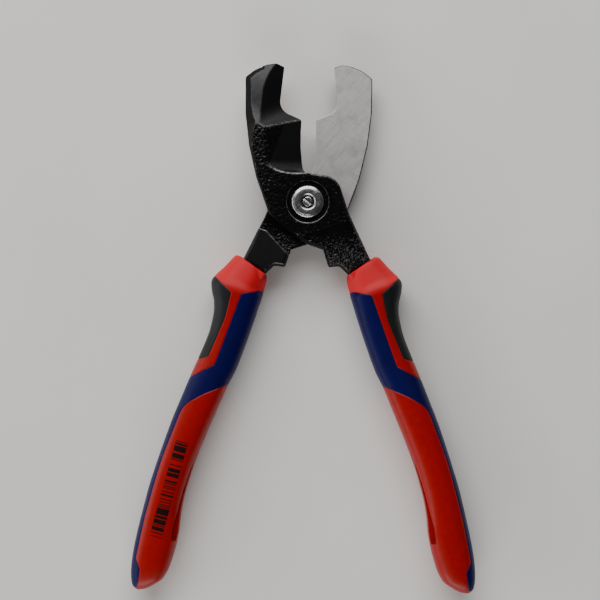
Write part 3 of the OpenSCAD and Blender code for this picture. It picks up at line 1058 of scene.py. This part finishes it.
def grained(name, specular, grain, mottle, gloss, depth_mm, strength, streaks=None):
    """Two drifting shades, under one grain that sets both the roughness and the bump.

    grain is (size, detail, roughness), mottle is (size, dark, light), gloss is two ramp
    stops, and streaks, if given, are the grain's stretched coordinates.
    """
    look = Look(name, Specular_IOR_Level=specular)
    source = look.noise(*grain, look.stretched(*streaks) if streaks else None)
    look.mottle(*mottle)
    look.gloss(source, gloss)
    look.bump(source, depth_mm, strength)
    return look.material


def bevel_black():
    """The bevels behind the edges: black, and smooth but for fine grinding lines."""
    return grained("bevel_black", 0.45, (0.12, 2.0, 0.5), (3.0, srgb(4, 4, 6), srgb(8, 8, 10)),
                   [(0.3, 0.32), (0.8, 0.42)], 0.012, 0.6, streaks=(0.12, 2.0, 20))


def wall_black():
    """The steep sides, where the black is matt."""
    return grained("wall_black", 0.1, (0.5, 2.0, 0.5), (3.0, srgb(3, 3, 4), srgb(8, 8, 9)),
                   [(0.3, 0.5), (0.75, 0.65)], 0.1, 0.7)


def satin_black():
    """The thinned face of the upper jaw: a matt, dark grey scale."""
    return grained("satin_black", 0.5, (0.35, 3.0, 0.6), (1.6, srgb(32, 32, 35), srgb(50, 50, 54)),
                   [(0.3, 0.42), (0.75, 0.55)], 0.06, 0.8)


def soft_blue():
    """Satin elastomer, finely textured."""
    dark, light = (0.0006, 0.0001, 0.051, 1), (0.001, 0.0003, 0.067, 1)
    return grained("soft_blue", 0.2, (0.14, 3.0, 0.6), (4.0, dark, light),
                   [(0.3, 0.36), (0.75, 0.5)], 0.02, 0.6)


def soft_grey():
    """The thumb pad's dark grey elastomer, finely textured."""
    dark, light = (0.004, 0.006, 0.007, 1), (0.007, 0.009, 0.010, 1)
    return grained("soft_grey", 0.3, (0.18, 3.0, 0.6), (4.0, dark, light),
                   [(0.3, 0.42), (0.75, 0.58)], 0.03, 0.7)


def wear_and_highlight_black():
    """Edges where the black has worn through to grey steel, here and there, and paler still as a painted
    highlight along their rounding.
    """
    look = Look("wear_and_highlight_black", Metallic=0.7)
    patches = look.noise(0.9, 3.0, 0.6)
    # painted highlight: the pale greys stand partly for worn steel and partly for the window's glint on
    # rounded edges
    look.feed("Base Color", look.ramp(patches, [(0.35, srgb(34, 34, 36)), (0.65, srgb(112, 112, 114))]))
    look.gloss(patches, [(0.3, 0.3), (0.7, 0.42)])
    return look.material


def ground_steel():
    """The bare lap: surface-ground steel, with faint arcs of grinding in two directions."""
    look = Look("ground_steel", Metallic=0.55)
    one = look.noise(0.11, 3.0, 0.6, look.stretched(0.11, 6.0, 52))
    two = look.noise(0.14, 3.0, 0.6, look.stretched(0.14, 5.0, -28))
    wide = look.noise(0.7, 2.0, 0.5, look.stretched(0.7, 9.0, 50))
    cloud = look.noise(5.0, 3.0, 0.5)
    streaks = look.total((one, 0.4), (two, 0.35), (wide, 0.25))
    shades = [(0.36, srgb(176, 171, 171)), (0.5, srgb(198, 194, 194)), (0.64, srgb(211, 208, 208))]
    base = look.ramp(streaks, shades)
    stain = look.ramp(cloud, [(0.5, 0.0), (0.75, 0.6)])
    look.feed("Base Color", look.mix(stain, base, srgb(158, 150, 151)))
    look.gloss(streaks, [(0.3, 0.4), (0.7, 0.55)])
    look.bump(streaks, 0.014, 0.7)
    return look.material


def turned_steel():
    """Bright steel with fine turning lines round the pivot's axis."""
    look = Look("turned_steel", Metallic=1.0)
    _, _, z = look.xyz()
    join = look.node("ShaderNodeCombineXYZ", {"X": look.radius(), "Y": z})
    rings = look.noise(0.09, 2.0, 0.6, join.outputs["Vector"])
    scratches = look.noise(0.3, 3.0, 0.7, look.stretched(0.3, 2.4, 35))
    both = look.total((rings, 0.6), (scratches, 0.4))
    look.feed("Base Color", look.ramp(both, [(0.4, srgb(104, 104, 106)), (0.6, srgb(222, 222, 224))]))
    look.gloss(both, [(0.3, 0.16), (0.7, 0.36)])
    look.bump(both, 0.038, 0.9)
    return look.material


COLLAR_SHEEN_DOWN = 39.0      # how far down the grip the collar's painted sheen and matt finish end
COLLAR_SHEEN_BLEND = 0.3
PRINT_TOP, PRINT_END = (13.97, -94.65, -7.0), (11.8, -129.5, -7.0)
BAR_WIDTH = 0.34
BAR_REACH = 2.2


def hard_red(name="hard_red"):
    """Moulded plastic with a soft gloss, a faint ripple and a fine grain, and a matt collar whose paler
    red is a painted sheen.
    """
    look = Look(name, Specular_IOR_Level=0.3)
    ripple = look.noise(2.4, 2.0, 0.4)
    grain = look.noise(0.16, 3.0, 0.6)
    body = look.ramp(ripple, [(0.3, (0.295, 0.0022, 0.0018, 1)), (0.7, (0.33, 0.0027, 0.0022, 1))])
    x, y, _ = look.xyz()
    aside = look.maths("ABSOLUTE", x)
    up = look.total((y, math.cos(HALF_OPEN) / MM), (aside, -math.sin(HALF_OPEN) / MM))
    above_mouth = look.maths("ADD", up, COLLAR_SHEEN_DOWN)
    collar_sheen_and_matt = look.ramp(look.times(above_mouth, COLLAR_SHEEN_BLEND), [(0.0, 0.0), (1.0, 1.0)])
    # painted sheen: the collar's paler red stands for the window's broad reflection on it, painted into
    # the base colour
    look.feed("Base Color", look.mix(collar_sheen_and_matt, body, (0.62, 0.008, 0.015, 1)))
    gloss = look.ramp(grain, [(0.3, 0.33), (0.75, 0.43)])
    look.feed("Roughness", look.mix(collar_sheen_and_matt, gloss, (0.55, 0.55, 0.55, 1)))
    look.bump(look.total((ripple, 0.7), (grain, 0.3)), 0.03, 0.5)
    return look


def printed_red():
    """The left grip's red, with a block of plain bars printed across its front."""
    look = hard_red("hard_red_printed")
    base = look.shader.inputs["Base Color"].links[0].from_socket
    start = REAR_PLACE @ Vector(PRINT_TOP)
    run = (REAR_PLACE @ Vector(PRINT_END) - start).to_2d()
    place = look.node("ShaderNodeMapping", {"Vector": look.coords}, vector_type="TEXTURE")
    place.inputs["Location"].default_value = start
    place.inputs["Rotation"].default_value = (0, 0, math.atan2(run.y, run.x))
    place.inputs["Scale"].default_value = (MM, MM, MM)
    along, across, height = look.xyz(place.outputs["Vector"])
    module = look.maths("FLOOR", look.maths("DIVIDE", along, BAR_WIDTH))
    chance = look.node("ShaderNodeTexWhiteNoise", {"W": module}, noise_dimensions="1D")
    bar = look.maths("GREATER_THAN", chance.outputs["Value"], 0.42)
    half_run = run.length / MM / 2
    from_middle = look.maths("ABSOLUTE", look.maths("SUBTRACT", along, half_run))
    within = look.maths("LESS_THAN", from_middle, half_run)
    beside = look.maths("LESS_THAN", look.maths("ABSOLUTE", across), BAR_REACH)
    front = look.maths("GREATER_THAN", height, -3.0)
    ink = look.times(look.times(bar, within), look.times(beside, front))
    worn = look.ramp(look.noise(0.3), [(0.3, 0.86), (0.55, 1.0)])
    look.feed("Base Color", look.mix(look.times(ink, worn), base, srgb(9, 6, 8)))
    return look.material


def floor_look():
    look = Look("floor")
    look.mottle(60.0, srgb(233, 232, 229), srgb(238, 237, 234))
    look.gloss(look.noise(1.0), [(0.3, 0.5), (0.7, 0.6)])
    return look.material


# --- Stage ---

def make_floor():
    half = 1.2
    mesh = bpy.data.meshes.new("floor")
    corners = [(-half, -half, 0), (half, -half, 0), (half, half, 0), (-half, half, 0)]
    mesh.from_pydata(corners, [], [(0, 1, 2, 3)])
    mesh.materials.append(floor_look())
    floor = add_object("floor", mesh)


def area_light(name, place, target, size, power, tint=(1, 1, 1)):
    data = bpy.data.lights.new(name, "AREA")
    data.shape = "RECTANGLE"
    data.size, data.size_y = size
    data.energy = power
    data.color = tint
    light = add_object(name, data)
    light.location = place
    light.rotation_euler = (Vector(target) - Vector(place)).to_track_quat("-Z", "Y").to_euler()


def make_lights():
    """A large window beyond the tip, and weaker fills at the sides. Straight above stays dark."""
    area_light("window", (-0.2, 1.1, 0.98), (0, 0, 0), (1.9, 1.0), 28.0, (1.0, 0.995, 0.98))
    area_light("left_fill", (-1.3, -0.15, 0.36), (0, -0.04, 0), (1.4, 0.5), 6.5, (1.0, 0.99, 0.98))
    area_light("near_fill", (-0.3, -1.3, 0.5), (0, 0, 0), (1.6, 0.5), 13.0, (1.0, 0.98, 0.96))
    world = bpy.data.worlds.new("world")
    bpy.context.scene.world = world
    world.use_nodes = True
    background = world.node_tree.nodes["Background"]
    background.inputs["Color"].default_value = (0.95, 0.97, 1.0, 1)
    background.inputs["Strength"].default_value = 0.06


def make_camera():
    """Straight above the tool, with the frame's width taken at the shear plane."""
    height, frame_width = 0.50, 0.2148
    data = bpy.data.cameras.new("camera")
    data.sensor_width = 36
    data.lens = 36 * (height - PIVOT["pos_m"][2]) / frame_width
    camera = add_object("camera", data)
    camera.location = (-0.0023, -0.0348, height)
    camera.rotation_euler = (0, 0, math.radians(0.7))
    bpy.context.scene.camera = camera


# --- Making it ---

make_camera()
make_lights()
make_floor()

LOOKS = {"hard_plastic": hard_red().material, "soft_plastic": soft_blue(), "pad_plastic": soft_grey()}
STEEL = turned_steel()
LEVER_LOOKS = [forged_black(), bevel_black(), ground_steel(), satin_black(), wear_and_highlight_black(), wall_black()]

lever("front_lever_forging", "front_half", "front_lever", FRONT_SEAT, FRONT_PLACE, LEVER_LOOKS)
lever("rear_lever_forging", "rear_half", "rear_lever", REAR_SEAT, REAR_PLACE, LEVER_LOOKS)
pivot_sleeve([STEEL])
pivot_screw([STEEL])
washer = frame["nodes"]["spring_washer"]
washer.data.materials.clear()
washer.data.materials.append(STEEL)

GRIP = GripShape()
grip("right", "front_half", FRONT_PLACE, GRIP, LOOKS)
grip("left", "rear_half", REAR_PLACE, GRIP, {**LOOKS, "hard_plastic": printed_red()})
